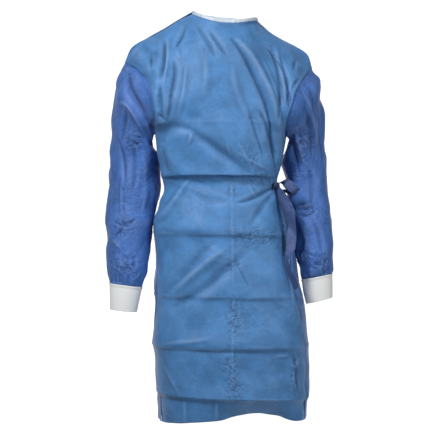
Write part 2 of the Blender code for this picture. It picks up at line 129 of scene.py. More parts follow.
# What the heights of the front's creases and crumples and of the sleeves' creases are multiplied by, what
# the widths of all the long creases are, and how much of a sleeve's crease shows on the sleeve's far side.
FRONT_CREASE_GAIN = 1.8
FRONT_CRUMPLE_GAIN = 1.4
SLEEVE_CREASE_GAIN = 1.9
CREASE_WIDTH_GAIN = 0.8
SLEEVE_FAR_SHARE = 0.25

# Random unevenness of the cloth: its height, the size of its features and its seed. Waves are soft, and
# crumples are crisp.
Uneven = namedtuple("Uneven", "height size seed")
BODY_WAVES = (Uneven(0.0008, 0.026, 31), Uneven(0.0024, 0.075, 37))
BODY_CRUMPLE = Uneven(0.0050, 0.050, 47)
SLEEVE_WAVES = Uneven(0.0016, 0.040, 41)
SLEEVE_CRUMPLE = Uneven(0.0076, 0.036, 43)

# How crumpled a cloth looks: everywhere, by how much that varies, over what size, with what seed, and how
# much more so inside its patches.
Crush = namedtuple("Crush", "least vary size seed patch")
BODY_CRUSH = Crush(0.12, 0.12, 0.060, 53, 0.7)
SLEEVE_CRUSH = Crush(0.30, 0.22, 0.050, 59, 0.8)

# The size of the crumples inside the patches, and their seeds.
BODY_PATCH_SIZE = 0.0095
BODY_PATCH_SEED = 5
SLEEVE_PATCH_SIZE = 0.011
SLEEVE_PATCH_SEED = 7

# The pitch of the nonwoven's welded points, of the cuff's ribs and of its rows of stitches.
BOND_PITCH = 0.0022
RIB_PITCH = 0.0021
STITCH_PITCH = 0.0014

# The colours of the cloths, as linear red, green and blue.
FRONT_BLUE = (0.063, 0.206, 0.462)
BACK_BLUE = (0.068, 0.180, 0.450)
SLEEVE_BLUE = (0.047, 0.142, 0.430)
KNIT_WHITE = (0.86, 0.88, 0.88)
BINDING_WHITE = (0.62, 0.70, 0.80)
TAPE_LILAC = (0.048, 0.086, 0.225)

# How fine each mesh is, in metres.
BODY_CELL = 0.0035
SLEEVE_CELL = 0.0029
SMALL_CELL = 0.0016

# The light: how bright the studio is overhead and underneath, the power of each lamp in watts, and how
# wide the key and the fill spread, in degrees.
SKY_ABOVE = 0.235
SKY_BELOW = 0.05
KEY_WATTS = 8.1
FILL_WATTS = 5.7
BACKDROP_WATTS = 165
LAMP_SPREAD = 60.0

# The lamps are aimed this far from the middle of the gown's box.
AIM_OFFSET_X = 0.001
AIM_OFFSET_Z = -0.012

# The camera stands here, this far in front of the gown, and its picture is this wide there.
CAMERA_X = -0.013
CAMERA_Z = -0.5148
CAMERA_DISTANCE = 4.0
PICTURE_WIDTH = 1.144
SENSOR_MM = 36.0

# The sweep that the gown stands before: how far its floor lies below the hem, how far it reaches in front
# and behind and to each side, how high it goes, and the radius of its bend.
FLOOR_DROP = 0.9
SWEEP_NEAR = -6.0
SWEEP_FAR = 7.0
SWEEP_HALF_WIDTH = 9.0
SWEEP_HEIGHT = 6.0
SWEEP_BEND = 2.0


def table(kind, *rows):
    """The rows of a table as tuples whose columns have the names of this kind."""
    return tuple(kind(*row) for row in rows)


# A crease from (x0, z0) by (xm, zm) to (x1, z1): its half width, its height (negative is a trough) and its
# form. "soft" is rounded, and "sharp" comes to an edge.
Crease = namedtuple("Crease", "x0 z0 xm zm x1 z1 width height form")

# A patch of crumpled cloth: its middle, half width and half height, and how deep the crumples are.
Patch = namedtuple("Patch", "x z wide high depth")

CHEST_CREASES = table(
    Crease,
    (0.017, -0.057, 0.097, -0.206, 0.129, -0.404, 0.011, -0.0095, "sharp"),
    (0.036, -0.062, 0.116, -0.2, 0.139, -0.38, 0.013, 0.006, "soft"),
    (0.058, -0.23, 0.077, -0.297, 0.098, -0.354, 0.007, -0.003, "sharp"),
    (0.085, -0.24, 0.11, -0.295, 0.128, -0.356, 0.009, -0.004, "soft"),
    (0.118, -0.067, 0.14, -0.165, 0.128, -0.266, 0.009, -0.004, "soft"),
    (0.13, -0.062, 0.148, -0.165, 0.153, -0.236, 0.007, 0.003, "sharp"),
    (0.148, -0.122, 0.16, -0.17, 0.153, -0.231, 0.006, -0.003, "sharp"),
    (-0.168, -0.326, -0.14, -0.281, -0.085, -0.288, 0.018, -0.005, "soft"),
    (-0.085, -0.288, -0.012, -0.343, 0.07, -0.4, 0.016, -0.005, "soft"),
    (0.002, -0.316, 0.008, -0.337, 0.015, -0.356, 0.004, 0.0015, "sharp"),
    (0.032, -0.321, 0.052, -0.356, 0.07, -0.394, 0.004, 0.0015, "sharp"),
    (-0.076, -0.022, -0.046, -0.062, -0.026, -0.102, 0.007, -0.0025, "soft"),
    (-0.041, -0.034, -0.016, -0.072, 0.002, -0.098, 0.006, -0.0025, "soft"),
    (-0.126, -0.077, -0.116, -0.052, -0.101, -0.017, 0.008, -0.003, "soft"),
    (-0.124, -0.08, -0.12, -0.092, -0.116, -0.105, 0.006, 0.002, "sharp"),
    (-0.156, -0.059, -0.157, -0.11, -0.166, -0.156, 0.009, -0.004, "soft"),
    (-0.192, -0.095, -0.189, -0.114, -0.187, -0.132, 0.006, -0.002, "soft"),
    (-0.171, -0.246, -0.16, -0.256, -0.146, -0.266, 0.006, -0.0025, "sharp"),
    (-0.146, -0.266, -0.137, -0.225, -0.134, -0.193, 0.007, -0.0025, "soft"),
    (-0.086, -0.296, -0.089, -0.311, -0.095, -0.326, 0.006, 0.002, "soft"),
    (0.183, -0.097, 0.181, -0.113, 0.178, -0.13, 0.006, -0.002, "soft"),
    (0.2, -0.151, 0.179, -0.167, 0.168, -0.193, 0.006, -0.002, "soft"),
)
CHEST_SIDE_CREASES = table(
    Crease,
    (-0.147, -0.049, -0.148, -0.11, -0.155, -0.17, 0.007, 0.003, "sharp"),
    (-0.165, -0.175, -0.163, -0.22, -0.16, -0.262, 0.009, -0.005, "soft"),
    (-0.13, -0.11, -0.128, -0.16, -0.14, -0.215, 0.008, -0.0035, "soft"),
    (-0.1, -0.12, -0.105, -0.19, -0.12, -0.25, 0.009, 0.0025, "soft"),
    (0.108, -0.075, 0.135, -0.1, 0.15, -0.14, 0.006, -0.0045, "sharp"),
    (0.143, -0.095, 0.16, -0.165, 0.158, -0.24, 0.009, -0.0065, "sharp"),
    (0.098, -0.11, 0.128, -0.19, 0.138, -0.27, 0.008, 0.0035, "sharp"),
    (0.032, -0.345, 0.075, -0.372, 0.108, -0.388, 0.006, 0.0025, "sharp"),
    (-0.16, -0.335, -0.152, -0.368, -0.145, -0.396, 0.01, -0.0035, "soft"),
    (-0.05, -0.1, -0.048, -0.15, -0.055, -0.205, 0.012, 0.0022, "soft"),
    (0.02, -0.13, 0.03, -0.19, 0.055, -0.25, 0.012, 0.0025, "soft"),
    (0.02, -0.425, 0.018, -0.56, 0.022, -0.7, 0.005, 0.0014, "sharp"),
    (0.022, -0.7, 0.018, -0.83, 0.02, -0.96, 0.005, 0.0014, "sharp"),
    (-0.105, -0.97, -0.104, -0.998, -0.104, -1.03, 0.005, 0.0022, "sharp"),
    (-0.023, -0.97, -0.022, -0.998, -0.023, -1.025, 0.005, 0.0025, "sharp"),
)
SKIRT_CREASES = table(
    Crease,
    (-0.094, -0.414, -0.14, -0.478, -0.174, -0.517, 0.01, 0.004, "soft"),
    (-0.081, -0.447, -0.035, -0.462, 0.007, -0.467, 0.014, -0.003, "soft"),
    (0.128, -0.429, 0.071, -0.458, 0.031, -0.47, 0.008, -0.0035, "soft"),
    (0.128, -0.439, 0.088, -0.49, 0.06, -0.53, 0.011, -0.0022, "soft"),
    (0.06, -0.422, 0.071, -0.447, 0.088, -0.454, 0.006, 0.002, "sharp"),
    (-0.033, -0.575, -0.097, -0.638, -0.149, -0.696, 0.016, -0.004, "soft"),
    (0, -0.588, -0.066, -0.638, -0.129, -0.696, 0.014, 0.0042, "soft"),
    (0.055, -0.59, -0.035, -0.673, -0.134, -0.736, 0.019, -0.005, "soft"),
    (0.13, -0.434, 0.152, -0.54, 0.161, -0.711, 0.01, -0.005, "soft"),
    (-0.161, -0.872, -0.137, -0.916, -0.114, -0.96, 0.006, 0.002, "sharp"),
    (0.171, -0.855, 0.182, -0.905, 0.186, -0.955, 0.007, -0.003, "sharp"),
    (0.188, -0.86, 0.176, -0.9, 0.172, -0.95, 0.006, 0.002, "sharp"),
    (0.12, -0.86, 0.141, -0.858, 0.163, -0.855, 0.004, 0.0015, "sharp"),
    (-0.156, -0.829, -0.1, -0.822, -0.041, -0.814, 0.008, 0.002, "soft"),
    (0.017, -0.422, 0.016, -0.445, 0.017, -0.467, 0.004, 0.0015, "sharp"),
    (0.027, -0.626, 0.044, -0.655, 0.06, -0.686, 0.004, -0.0015, "sharp"),
)
FRONT_CREASES = CHEST_CREASES + CHEST_SIDE_CREASES + SKIRT_CREASES
RIGHT_SLEEVE_CREASES = table(
    Crease,
    (-0.271, -0.212, -0.235, -0.245, -0.194, -0.335, 0.009, 0.0045, "sharp"),
    (-0.28, -0.3, -0.262, -0.36, -0.255, -0.42, 0.008, -0.004, "sharp"),
    (-0.248, -0.142, -0.232, -0.205, -0.1755, -0.303, 0.012, -0.006, "soft"),
    (-0.253, -0.231, -0.261, -0.271, -0.268, -0.316, 0.009, -0.003, "soft"),
    (-0.262, -0.405, -0.265, -0.455, -0.267, -0.5, 0.006, 0.0022, "sharp"),
    (-0.2916, -0.5638, -0.276, -0.548, -0.2607, -0.533, 0.006, -0.003, "sharp"),
    (-0.287, -0.5187, -0.263, -0.528, -0.2375, -0.53, 0.007, -0.003, "sharp"),
    (-0.2555, -0.525, -0.241, -0.52, -0.227, -0.5096, 0.006, -0.0028, "sharp"),
    (-0.2916, -0.5638, -0.28, -0.575, -0.267, -0.5896, 0.006, 0.0022, "sharp"),
    (-0.215, -0.33, -0.205, -0.42, -0.212, -0.5, 0.012, 0.003, "soft"),
    (-0.24, -0.33, -0.232, -0.38, -0.238, -0.44, 0.01, -0.003, "soft"),
    (-0.205, -0.27, -0.19, -0.3, -0.18, -0.345, 0.008, 0.003, "sharp"),
)
LEFT_SLEEVE_CREASES = table(
    Crease,
    (0.232, -0.22, 0.248, -0.295, 0.252, -0.37, 0.008, -0.005, "sharp"),
    (0.195, -0.18, 0.222, -0.25, 0.238, -0.33, 0.009, 0.004, "sharp"),
    (0.1857, -0.499, 0.21, -0.503, 0.2347, -0.4864, 0.007, -0.0034, "sharp"),
    (0.188, -0.48, 0.208, -0.478, 0.226, -0.47, 0.008, 0.0026, "soft"),
    (0.205, -0.235, 0.22, -0.29, 0.222, -0.35, 0.01, -0.0035, "soft"),
    (0.178, -0.27, 0.188, -0.32, 0.205, -0.372, 0.008, 0.0035, "sharp"),
    (0.17, -0.3, 0.18, -0.345, 0.19, -0.385, 0.006, -0.003, "sharp"),
    (0.215, -0.38, 0.224, -0.43, 0.222, -0.48, 0.01, -0.003, "soft"),
    (0.19, -0.52, 0.205, -0.56, 0.203, -0.6, 0.009, 0.0026, "soft"),
    (0.226, -0.52, 0.24, -0.555, 0.246, -0.6, 0.008, -0.0028, "soft"),
)
FRONT_PATCHES = table(
    Patch,
    (0.02, -0.628, 0.016, 0.02, 0.003),
    (0.022, -0.765, 0.02, 0.062, 0.0024),
    (0.012, -0.88, 0.02, 0.034, 0.0024),
    (0.022, -0.938, 0.026, 0.026, 0.0022),
    (0.075, -0.556, 0.06, 0.026, 0.0022),
    (0.178, -0.905, 0.014, 0.055, 0.0026),
    (0.1, -0.415, 0.04, 0.02, 0.0022),
    (0.016, -0.445, 0.016, 0.03, 0.0016),
)
SLEEVE_PATCHES = table(
    Patch,
    (-0.235, -0.3136, 0.02, 0.032, 0.0055),
    (-0.262, -0.535, 0.034, 0.03, 0.0045),
    (0.201, -0.3007, 0.026, 0.036, 0.006),
    (0.201, -0.6077, 0.028, 0.02, 0.005),
    (0.2476, -0.628, 0.024, 0.036, 0.0055),
    (0.21, -0.49, 0.034, 0.022, 0.004),
    (-0.25, -0.63, 0.04, 0.03, 0.0045),
)
BACK_CREASES = table(
    Crease,
    (-0.15, -0.12, -0.06, -0.2, 0.02, -0.23, 0.014, -0.0045, "soft"),
    (0.15, -0.13, 0.08, -0.22, 0.01, -0.3, 0.014, -0.0045, "soft"),
    (-0.14, -0.2, -0.11, -0.3, -0.08, -0.395, 0.012, 0.004, "soft"),
    (0.135, -0.22, 0.105, -0.31, 0.095, -0.395, 0.012, 0.004, "soft"),
    (0.1, -0.44, 0.03, -0.475, -0.06, -0.48, 0.014, -0.004, "soft"),
    (0.12, -0.45, 0.09, -0.54, 0.08, -0.66, 0.014, -0.005, "soft"),
    (-0.13, -0.44, -0.11, -0.54, -0.12, -0.66, 0.014, 0.004, "soft"),
    (-0.04, -0.58, -0.09, -0.65, -0.15, -0.7, 0.018, -0.0045, "soft"),
    (0.15, -0.72, 0.14, -0.82, 0.15, -0.95, 0.012, -0.004, "soft"),
    (-0.02, -0.72, -0.025, -0.8, -0.02, -0.9, 0.012, 0.0035, "soft"),
)

# A packing crease that runs level round the gown: where it is along Z, how far it wanders, its half width,
# how far it stands off the cloth and its form.
Packing = namedtuple("Packing", "z wander width height form")
PACKING = table(
    Packing,
    (-0.266, 0.0015, 0.005, 0.001, "sharp"),
    (-0.547, 0.0025, 0.0055, 0.0022, "sharp"),
    (-0.708, 0.001, 0.005, 0.002, "sharp"),
    (-0.837, 0.0015, 0.006, 0.0028, "sharp"),
)

# A point on a ribbon's middle line, which way its width points (degrees from +X towards -Y, and upwards)
# and how wide it is there: it is bunched at the knot.
Ribbon = namedtuple("Ribbon", "x y z turn tip width")
LOOP = table(
    Ribbon,
    (0.131, -0.074, -0.4262, 90, 10, 0.01),
    (0.14, -0.0755, -0.4205, 85, 15, 0.014),
    (0.149, -0.0775, -0.4175, 60, 35, 0.02),
    (0.1575, -0.081, -0.4225, 20, 52, 0.024),
    (0.168, -0.084, -0.43, 5, 54, 0.025),
    (0.178, -0.083, -0.4375, 20, 50, 0.024),
    (0.1845, -0.077, -0.4425, 55, 35, 0.024),
    (0.181, -0.069, -0.444, 60, 30, 0.024),
    (0.17, -0.066, -0.4405, 30, 46, 0.024),
    (0.1585, -0.067, -0.4385, 60, 35, 0.02),
    (0.145, -0.07, -0.437, 85, 10, 0.014),
    (0.133, -0.073, -0.4315, 90, 0, 0.01),
)
TAIL_FRONT = table(
    Ribbon,
    (0.1325, -0.077, -0.43, 60, 30, 0.011),
    (0.139, -0.08, -0.44, 40, 32, 0.016),
    (0.148, -0.0815, -0.456, 25, 28, 0.022),
    (0.1565, -0.084, -0.473, 20, 24, 0.024),
    (0.1665, -0.087, -0.496, 28, 16, 0.025),
    (0.17, -0.089, -0.515, 44, 4, 0.025),
    (0.17, -0.09, -0.533, 40, 0, 0.025),
    (0.1685, -0.093, -0.552, 8, -4, 0.025),
    (0.168, -0.099, -0.571, 6, -6, 0.025),
    (0.165, -0.104, -0.588, 24, -16, 0.025),
    (0.159, -0.111, -0.605, 62, -12, 0.024),
    (0.158, -0.1145, -0.62, 72, 0, 0.024),
    (0.161, -0.1155, -0.637, 66, 14, 0.024),
    (0.168, -0.115, -0.656, 60, 20, 0.025),
    (0.175, -0.1135, -0.672, 58, 22, 0.025),
    (0.1805, -0.111, -0.688, 60, 20, 0.025),
)
TAIL_REAR = table(
    Ribbon,
    (0.132, -0.068, -0.434, 70, 20, 0.01),
    (0.14, -0.065, -0.448, 50, 22, 0.018),
    (0.15, -0.065, -0.472, 40, 20, 0.024),
    (0.156, -0.068, -0.498, 62, 12, 0.025),
    (0.159, -0.071, -0.523, 70, 0, 0.025),
    (0.163, -0.075, -0.545, 50, -5, 0.025),
    (0.168, -0.081, -0.568, 40, -6, 0.025),
    (0.17, -0.088, -0.59, 45, -8, 0.025),
)

# The knot is three turns of ribbon round one middle: its half sizes, the tape's thickness, and which way the
# axis of each turn leans up and swings back, in degrees.
KNOT_MIDDLE = (0.1300, -0.0745, -0.4270)
KNOT_SIZE = (0.0075, 0.0085, 0.0095)
KNOT_TAPE = 0.0009
KNOT_TURNS = ((20.0, 8.0), (-38.0, -20.0), (78.0, 35.0))


# ---------------------------------------------------------------- cloth read from the frame's solids


def outer_layer(node, wall):
    """The outer side of a cloth wall, without its rim and its inner side."""
    work = bmesh.new()
    work.from_mesh(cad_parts[node].data)
    bmesh.ops.remove_doubles(work, verts=work.verts, dist=0.00002)
    rim = [f for f in work.faces if min(e.calc_length() for e in f.edges) < wall * 1.15]
    bmesh.ops.delete(work, geom=rim, context="FACES")
    islands = sorted(connected(work.faces), key=lambda faces: sum(f.calc_area() for f in faces))
    bmesh.ops.delete(work, geom=[f for island in islands[:-1] for f in island], context="FACES")
    return work


def connected(faces):
    """The faces in groups that hang together."""
    left = set(faces)
    groups = []
    while left:
        stack = [left.pop()]
        group = []
        while stack:
            face = stack.pop()
            group.append(face)
            near = {other for edge in face.edges for other in edge.link_faces} & left
            left -= near
            stack.extend(near)
        groups.append(group)
    return groups


def beside(vertex, boundary=False):
    """The vertices that share an edge with this one."""
    return [e.other_vert(vertex) for e in vertex.link_edges if e.is_boundary or not boundary]


def corners_of(work):
    """The vertices at the corners of a grid that has been cut into triangles."""
    quads = work.copy()
    bmesh.ops.join_triangles(
        quads,
        faces=quads.faces,
        angle_face_threshold=math.pi,
        angle_shape_threshold=math.pi,
        topology_influence=1.0,
    )
    places = [v.co.copy() for v in quads.verts if v.is_boundary and len(v.link_faces) == 1]
    quads.free()
    return {v for v in work.verts if v.is_boundary and any((v.co - p).length < 1e-6 for p in places)}


def line_through(line, among):
    """Carry on a line of vertices among the given ones until none is left."""
    while True:
        following = [v for v in beside(line[-1]) if v in among and v not in line]
        if not following:
            return line
        if len(line) > 1:
            ahead = line[-1].co - line[-2].co
            following.sort(key=lambda v: -ahead.dot((v.co - line[-1].co).normalized()))
        line.append(following[0])


def grid_of(node, wall, corner, along, closed=False):
    """The cloth's points as rows and columns. Row 0 starts at the boundary vertex that lies furthest in
    one direction, and runs in another. The rows of a tube end where they start."""
    work = outer_layer(node, wall)
    corners = corners_of(work)
    edge = [v for v in work.verts if v.is_boundary and (closed or v in corners)]
    start = max(edge, key=lambda v: v.co.dot(Vector(corner)))
    second = max(beside(start, True), key=lambda v: (v.co - start.co).normalized().dot(Vector(along)))
    row = [start, second]
    while True:
        following = [v for v in beside(row[-1], True) if v is not row[-2]]
        if following[0] is start:
            break
        if row[-1] in corners:
            break
        row.append(following[0])
    rows = [row]
    seen = set(row)
    while True:
        above = {v for r in row for v in beside(r)} - seen
        if not above:
            break
        way = (row[1].co - row[0].co).normalized()
        if closed:
            firsts = [v for v in beside(row[0]) if v in above]
            first = min(firsts, key=lambda v: abs((v.co - row[0].co).normalized().dot(way)))
        else:
            first = next(v for v in beside(row[0], True) if v in above)
        nexts = [v for v in beside(first) if v in above]
        second = max(nexts, key=lambda v: (v.co - first.co).dot(way))
        row = line_through([first, second], above)
        rows.append(row)
        seen |= above
    if closed:
        rows = [r + [r[0]] for r in rows]
    grid = np.array([[v.co[:] for v in line] for line in rows])
    work.free()
    return grid


def smooth(stations, values, at, monotone=False):
    """Cubic curve through the values at the stations, which rise, read at the given places. A monotone one
    goes nowhere beyond the values that it joins."""
    step = np.diff(stations).reshape(-1, *([1] * (values.ndim - 1)))
    rise = np.diff(values, axis=0) / step
    slope = np.empty_like(values)
    slope[0], slope[-1] = rise[0], rise[-1]
    if monotone:
        same_way = rise[:-1] * rise[1:] > 0
        both = np.where(same_way, rise[:-1] + rise[1:], 1.0)
        slope[1:-1] = np.where(same_way, 2 * rise[:-1] * rise[1:] / both, 0.0)
    else:
        slope[1:-1] = (step[1:] * rise[:-1] + step[:-1] * rise[1:]) / (step[1:] + step[:-1])
    i = np.clip(np.searchsorted(stations, at, side="right") - 1, 0, len(stations) - 2)
    t = ((at - stations[i]) / (stations[i + 1] - stations[i])).reshape(-1, *([1] * (values.ndim - 1)))
    h = step[i]
    return (
        (2 * t**3 - 3 * t**2 + 1) * values[i]
        + (t**3 - 2 * t**2 + t) * slope[i] * h
        + (3 * t**2 - 2 * t**3) * values[i + 1]
        + (t**3 - t**2) * slope[i + 1] * h
    )


def stations_of(grid, axis):
    """Mean distance along the grid to each of its rows (axis 0) or columns (axis 1)."""
    step = np.linalg.norm(np.diff(grid, axis=axis), axis=2).mean(axis=1 - axis)
    return np.concatenate([[0], np.cumsum(step)])


def resampled(grid, cell, closed=False):
    """The grid again with rows and columns about this far apart, on a smooth surface through it."""
    v = stations_of(grid, 0)
    grid = smooth(v, grid, np.linspace(0, v[-1], max(3, round(v[-1] / cell) + 1)), monotone=True)
    u = stations_of(grid, 1)
    count = max(3, round(u[-1] / cell) + 1)
    across = grid.transpose(1, 0, 2)
    if closed:
        across = np.concatenate([across[-4:-1], across, across[1:4]])
        u = np.concatenate([u[-4:-1] - u[-1], u, u[1:4] + u[-1]])
        at = np.linspace(0, u[-4], count)
    else:
        at = np.linspace(0, u[-1], count)
    return smooth(u, across, at).transpose(1, 0, 2)


def normals_of(grid, closed=False):
    """Unit normals of a grid, on the side that across and up turn anticlockwise round."""
    wide = np.concatenate([grid[:, -2:-1], grid, grid[:, 1:2]], axis=1) if closed else grid
    across = np.gradient(wide, axis=1)
    across = across[:, 1:-1] if closed else across
    normal = np.cross(across, np.gradient(grid, axis=0))
    return normal / np.maximum(np.linalg.norm(normal, axis=2, keepdims=True), 1e-12)


def facing_out(grid, closed=False):
    """The grid with its columns turned, if need be, so that its normals point out of the gown."""
    middle = grid.mean(axis=1, keepdims=True) if closed else np.zeros(3)
    outwards = ((grid - middle) * normals_of(grid, closed) * (1, 1, 0)).sum()
    return grid if outwards > 0 else grid[:, ::-1]


# ---------------------------------------------------------------- creases


def hill(distance, form):
    """Height of a crease of half width 1 at this distance from its line."""
    if form == "sharp":
        return np.exp(-1.6 * np.abs(distance)) * (1 + 0.4 * np.abs(distance))
    return np.exp(-(distance**2))


def crease_relief(points, crease):
    """Height that one crease gives the cloth at these points."""
    t = np.linspace(0, 1, 21)
    bend_x = 2 * crease.xm - (crease.x0 + crease.x1) / 2
    bend_z = 2 * crease.zm - (crease.z0 + crease.z1) / 2
    line_x = (1 - t) ** 2 * crease.x0 + 2 * t * (1 - t) * bend_x + t**2 * crease.x1
    line_z = (1 - t) ** 2 * crease.z0 + 2 * t * (1 - t) * bend_z + t**2 * crease.z1
    x, z = points[..., 0], points[..., 2]
    best = np.full(x.shape, 1e9)
    place = np.zeros(x.shape)
    for i in range(len(t) - 1):
        dx, dz = line_x[i + 1] - line_x[i], line_z[i + 1] - line_z[i]
        length = dx * dx + dz * dz
        s = np.clip(((x - line_x[i]) * dx + (z - line_z[i]) * dz) / length, 0, 1)
        away = np.hypot(x - line_x[i] - s * dx, z - line_z[i] - s * dz)
        nearer = away < best
        best = np.where(nearer, away, best)
        place = np.where(nearer, t[i] + s * (t[1] - t[0]), place)
    swell = np.sin(math.pi * np.clip(place, 0.02, 0.98)) ** 0.6
    width = CREASE_WIDTH_GAIN * crease.width * (0.55 + 0.45 * swell)
    return crease.height * swell * hill(best / width, crease.form)


def waves(points, scale, seed, count=9):
    """Smooth random field between about -1 and 1 whose features are about this large, in metres."""
    chance = np.random.default_rng(seed)
    total = np.zeros(points.shape[:-1])
    for _ in range(count):
        way = chance.normal(size=3)
        way *= 2 * math.pi / (scale * 2.2) / np.linalg.norm(way) * chance.uniform(0.6, 1.4)
        total += np.sin(points @ way + chance.uniform(0, 2 * math.pi))
    return total / math.sqrt(count)


def crumple(points, scale, seed):
    """Crisp random facets about this large: folds that run at every angle, like those in crushed paper."""
    chance = np.random.default_rng(seed)
    bend = [waves(points, scale * 1.6, seed + k) for k in (1, 2, 3)]
    bent = points + 0.35 * scale * np.stack(bend, axis=-1)
    total = np.zeros(points.shape[:-1])
    for k in range(6):
        way = chance.normal(size=3)
        way *= 1 / (scale * chance.uniform(1.2, 2.6)) / np.linalg.norm(way)
        phase = (bent @ way + chance.uniform()) % 1.0
        fold = 1 - np.abs(2 * phase - 1)
        total += fold * (0.5 + 0.5 * waves(points, scale * 3, seed + 10 + k))
    return total / 2.4 - 0.62


def patch_mask(points, patch):
    """How strongly a patch of crumples counts at these points."""
    away = ((points[..., 0] - patch.x) / patch.wide) ** 2 + ((points[..., 2] - patch.z) / patch.high) ** 2
    return np.exp(-(away**1.5))


def packing_relief(points, packing):
    """Height of a packing crease that runs level round the gown."""
    wander = packing.wander * waves(points, 0.09, 17)
    strength = 0.75 + 0.35 * waves(points, 0.05, 23)
    away = (points[..., 2] - packing.z - wander) / packing.width
    return packing.height * strength * hill(away, packing.form)


def eased(share):
    """0 to 1 with a soft start and end."""
    share = np.clip(share, 0, 1)
    return share * share * (3 - 2 * share)


def facing(normals, way):
    """1 where the cloth faces this way along Y, 0 where it faces the other way."""
    return eased(normals[..., 1] * way * 2.5 + 0.5)


def edge_fade(grid, sides=True):
    """1 on the cloth, easing to 0 at its top and, if asked, its sides, where the seams hold it."""
    v, u = stations_of(grid, 0)[:, None], stations_of(grid, 1)[None, :]
    fade = np.ones(grid.shape[:2])
    if sides:
        fade = fade * eased(u / SEAM_MARGIN) * eased((u[:, -1:] - u) / SEAM_MARGIN)
    return fade * eased((v[-1:] - v) / SEAM_MARGIN)


def continued(grid, axis, end, reach, depth):
    """The grid with rows (axis 0) or columns (axis 1) that run on past an end, this far and this deep."""
    lines = grid if axis == 0 else grid.transpose(1, 0, 2)
    normals = normals_of(grid)
    normals = normals if axis == 0 else normals.transpose(1, 0, 2)
    edge, inner = (lines[-1], lines[-3]) if end else (lines[0], lines[2])
    way = edge - inner
    way = way / np.linalg.norm(way, axis=1, keepdims=True)
    normal = normals[-1] if end else normals[0]
    extra = [edge + way * (reach * k) - normal * depth for k in TUCK_STEPS]
    lines = np.concatenate([lines, extra]) if end else np.concatenate([extra[::-1], lines])
    return lines if axis == 0 else lines.transpose(1, 0, 2)


def eased_yoke(grid):
    """The grid with the lines that run down from the corners of its neck smoothed away."""
    from_top = stations_of(grid, 0)
    from_top = (from_top[-1] - from_top)[:, None, None]
    share = eased(from_top / YOKE_START) * (1 - eased((from_top - YOKE_END) / YOKE_FADE))
    grid = grid.copy()
    for _ in range(YOKE_PASSES):
        middle = (grid[:, :-2] + grid[:, 2:]) / 2
        grid[:, 1:-1] += (middle - grid[:, 1:-1]) * share * 0.5
    return grid


def with_hem(grid):
    """Body cloth whose lowest strip hangs straight from the row above it, and is set in at the front."""
    above = resampled(grid[1:], BODY_CELL)
    columns = above.shape[1]
    u = stations_of(grid, 1)
    foot = smooth(u, grid[0], np.linspace(0, u[-1], columns))
    fall = foot - above[0]
    count = max(3, round(np.linalg.norm(fall, axis=1).mean() / BODY_CELL))
    inwards = normals_of(above)[0] * (-1, -1, 0)
    rows = []
    for share in np.linspace(1, 0, count, endpoint=False):
        set_in = HEM_SET_IN * eased(share * count / HEM_TURN_ROWS) * facing(normals_of(above)[0], -1)
        rows.append(above[0] + fall * share + inwards * set_in[:, None])
    return np.concatenate([rows, above])


def body_relief(points, normals):
    """Height of all the creases of the body's cloth."""
    front, back = facing(normals, -1), facing(normals, 1)
    height = sum(packing_relief(points, p) for p in PACKING)
    height = height + FRONT_CREASE_GAIN * front * sum(crease_relief(points, c) for c in FRONT_CREASES)
    height = height + back * sum(crease_relief(points, c) for c in BACK_CREASES)
    crushed = crumple(points, BODY_PATCH_SIZE, BODY_PATCH_SEED)
    for patch in FRONT_PATCHES:
        height = height + FRONT_CRUMPLE_GAIN * patch.depth * patch_mask(points, patch) * crushed * front
    for wave in BODY_WAVES:
        height = height + wave.height * waves(points, wave.size, wave.seed)
    return height + BODY_CRUMPLE.height * crumple(points, BODY_CRUMPLE.size, BODY_CRUMPLE.seed)


def crush_share(points, look, patches):
    """How crumpled the cloth is at these points, from 0 to 1."""
    crush = look.least + look.vary * waves(points, look.size, look.seed)
    for patch in patches:
        crush = crush + look.patch * patch_mask(points, patch)
    return np.clip(crush, 0.0, 1.0)


def sleeve_relief(points, normals, side):
    """Height of the creases of a sleeve, with the gathers that fan up from its cuff."""
    shown = SLEEVE_FAR_SHARE + (1 - SLEEVE_FAR_SHARE) * facing(normals, -1)
    crushed = crumple(points, SLEEVE_PATCH_SIZE, SLEEVE_PATCH_SEED)
    height = SLEEVE_WAVES.height * waves(points, SLEEVE_WAVES.size, SLEEVE_WAVES.seed)
    height = height + SLEEVE_CRUMPLE.height * crumple(points, SLEEVE_CRUMPLE.size, SLEEVE_CRUMPLE.seed)
    for crease in LEFT_SLEEVE_CREASES if side > 0 else RIGHT_SLEEVE_CREASES:
        height = height + SLEEVE_CREASE_GAIN * crease_relief(points, crease) * shown
    for patch in SLEEVE_PATCHES:
        height = height + patch.depth * patch_mask(points, patch) * crushed
    up = stations_of(points, 0)[:, None]
    turn = np.linspace(0, 2 * math.pi, points.shape[1])[None, :]
    wobble = turn + 0.08 * np.sin(up * 90) + 0.5 * np.sin(turn)
    gathers = np.sin(13 * wobble) + 0.6 * np.sin(21 * wobble + 1.0)
    return height + GATHER_DEPTH * gathers * np.exp(-up / GATHER_REACH)


# ---------------------------------------------------------------- objects


def placed(name, data):
    """A new object in the scene."""
    made = bpy.data.objects.new(name, data)
    bpy.context.scene.collection.objects.link(made)
    return made


def mesh_of(work, name, look):
    """A smooth mesh of what was worked on, in this material."""
    mesh = bpy.data.meshes.new(name)
    work.to_mesh(mesh)
    work.free()
    mesh.shade_smooth()
    mesh.materials.append(look)
    return mesh


def thickened(made, thickness, offset):
    solid = made.modifiers.new("Thickness", "SOLIDIFY")
    solid.thickness = thickness
    solid.offset = offset


